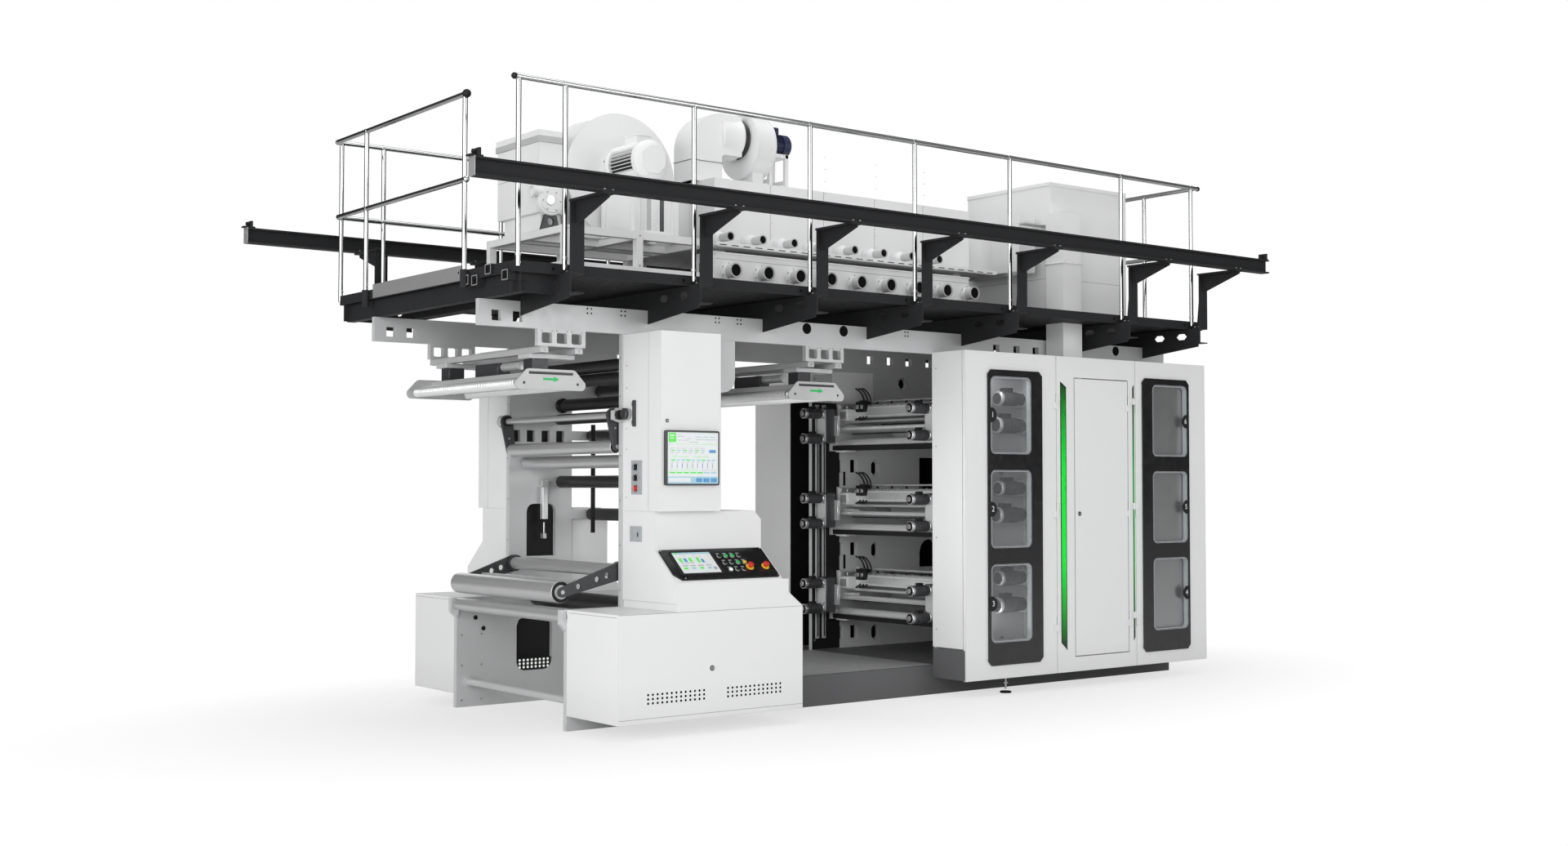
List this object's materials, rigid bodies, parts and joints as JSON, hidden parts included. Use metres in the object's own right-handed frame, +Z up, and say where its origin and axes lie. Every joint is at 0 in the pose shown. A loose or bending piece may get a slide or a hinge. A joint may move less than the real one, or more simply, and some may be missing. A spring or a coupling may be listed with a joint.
{
  "type": "flexographic printing press",
  "caption": "Flexographic printing press with unwind and rewind unit, enclosed print unit, overhead walkway, crane rails and dryer plant.",
  "frame": {"origin": "centre of the footprint on the floor (bounding box bottom centre)", "axes": "+X along the web from the unwind unit to the print unit, -Y towards the operator side, +Z up"},
  "size_m": [7.37, 3.551, 4.3235],
  "materials": {
    "panel_white": "satin powder coat",
    "frame_grey": "satin paint on machined plate",
    "charcoal_paint": "satin",
    "chrome": "polished",
    "black_gloss": "gloss",
    "dark_rubber": "matte",
    "dark_glass": "tinted",
    "machined_steel": "machined"
  },
  "bodies": {
    "press": {"air_manifold": "panel_white", "blower_frame": "panel_white", "blower_motor": "panel_white", "column_screen": "black_gloss", "control_panel": "black_gloss", "dryer_fan": "panel_white", "dryer_tunnel": "panel_white", "exhaust_box": "panel_white", "far_beam": "frame_grey", "far_column_cover": "panel_white", "far_console": "panel_white", "far_crane_rail": "charcoal_paint", "far_frame": "frame_grey", "far_handrail": "chrome", "far_print_cabinet": "panel_white", "far_print_frame": "frame_grey", "front_handrail": "chrome", "inlet_box": "panel_white", "main_blower": "panel_white", "near_beam": "frame_grey", "near_column_cover": "panel_white", "near_console": "panel_white", "near_crane_rail": "charcoal_paint", "near_frame": "frame_grey", "near_handrail": "chrome", "near_print_cabinet": "panel_white", "near_print_frame": "frame_grey", "platform": "charcoal_paint", "print_station_1": "machined_steel", "print_station_2": "machined_steel", "print_station_3": "machined_steel", "print_station_4": "machined_steel", "print_station_5": "machined_steel", "print_station_6": "machined_steel", "rear_handrail": "chrome", "tie_tube": "panel_white", "walkway_deck": "charcoal_paint", "walkway_frame": "charcoal_paint", "web_guide_1": "machined_steel", "web_guide_2": "machined_steel"},
    "upper_idler_roller": {"upper_idler_roller": "dark_rubber"},
    "grooved_idler_roller": {"grooved_idler_roller": "dark_rubber"},
    "silver_idler_roller": {"silver_idler_roller": "machined_steel"},
    "middle_idler_roller": {"middle_idler_roller": "dark_rubber"},
    "draw_roller": {"draw_roller": "dark_rubber"},
    "front_idler_roller": {"front_idler_roller": "machined_steel"},
    "lobe_roller": {"lobe_roller": "dark_rubber"},
    "high_rear_roller": {"high_rear_roller": "dark_rubber"},
    "low_rear_roller": {"low_rear_roller": "dark_rubber"},
    "dancer_arm": {"dancer_arm": "frame_grey"},
    "dancer_roller": {"dancer_roller": "machined_steel"},
    "swing_arm": {"swing_arm": "frame_grey"},
    "swing_roller": {"swing_roller": "machined_steel"},
    "left_window_door": {"left_window_door": "panel_white", "left_door_glass": "dark_glass"},
    "right_window_door": {"right_window_door": "panel_white", "right_door_glass": "dark_glass"},
    "service_door": {"service_door": "panel_white"}
  },
  "joints": [
    {"name": "upper_idler_roller_spin", "type": "hinge", "parent": "press", "child": "upper_idler_roller", "pos_m": [-1.615, 0, 2.2], "axis": [0, 1, 0], "continuous": true},
    {"name": "grooved_idler_roller_spin", "type": "hinge", "parent": "press", "child": "grooved_idler_roller", "pos_m": [-1.637, 0, 2.095], "axis": [0, 1, 0], "continuous": true},
    {"name": "silver_idler_roller_spin", "type": "hinge", "parent": "press", "child": "silver_idler_roller", "pos_m": [-1.915, 0, 1.765], "axis": [0, 1, 0], "continuous": true},
    {"name": "middle_idler_roller_spin", "type": "hinge", "parent": "press", "child": "middle_idler_roller", "pos_m": [-1.62, 0, 1.627], "axis": [0, 1, 0], "continuous": true},
    {"name": "draw_roller_spin", "type": "hinge", "parent": "press", "child": "draw_roller", "pos_m": [-1.819, 0, 0.772], "axis": [0, 1, 0], "continuous": true},
    {"name": "front_idler_roller_spin", "type": "hinge", "parent": "press", "child": "front_idler_roller", "pos_m": [-2.465, 0, 0.745], "axis": [0, 1, 0], "continuous": true},
    {"name": "lobe_roller_spin", "type": "hinge", "parent": "press", "child": "lobe_roller", "pos_m": [-1.275, 0, 2.318], "axis": [0, 1, 0], "continuous": true},
    {"name": "high_rear_roller_spin", "type": "hinge", "parent": "press", "child": "high_rear_roller", "pos_m": [-1.355, 0, 1.977], "axis": [0, 1, 0], "continuous": true},
    {"name": "low_rear_roller_spin", "type": "hinge", "parent": "press", "child": "low_rear_roller", "pos_m": [-1.355, 0, 1.382], "axis": [0, 1, 0], "continuous": true},
    {"name": "dancer_swing", "type": "hinge", "parent": "press", "child": "dancer_arm", "pos_m": [-2.025, 0, 1.03], "axis": [0, 1, 0], "range_deg": [-3, 25]},
    {"name": "dancer_roller_spin", "type": "hinge", "parent": "dancer_arm", "child": "dancer_roller", "pos_m": [-2.475, 0, 0.9], "axis": [0, 1, 0], "continuous": true},
    {"name": "swing_arm_swing", "type": "hinge", "parent": "press", "child": "swing_arm", "pos_m": [-2.09, 0, 2.07], "axis": [0, 1, 0], "range_deg": [-15, 30]},
    {"name": "swing_roller_spin", "type": "hinge", "parent": "swing_arm", "child": "swing_roller", "pos_m": [-2.055, 0, 1.86], "axis": [0, 1, 0], "continuous": true},
    {"name": "left_door_hinge", "type": "hinge", "parent": "press", "child": "left_window_door", "pos_m": [1.77, -1.1625, 1.4], "axis": [0, 0, 1], "range_deg": [0, 90]},
    {"name": "right_door_hinge", "type": "hinge", "parent": "press", "child": "right_window_door", "pos_m": [2.715, -1.1625, 1.4], "axis": [0, 0, -1], "range_deg": [0, 90]},
    {"name": "service_door_hinge", "type": "hinge", "parent": "press", "child": "service_door", "pos_m": [2.6225, -1.1625, 1.4], "axis": [0, 0, 1], "range_deg": [0, 90]}
  ]
}
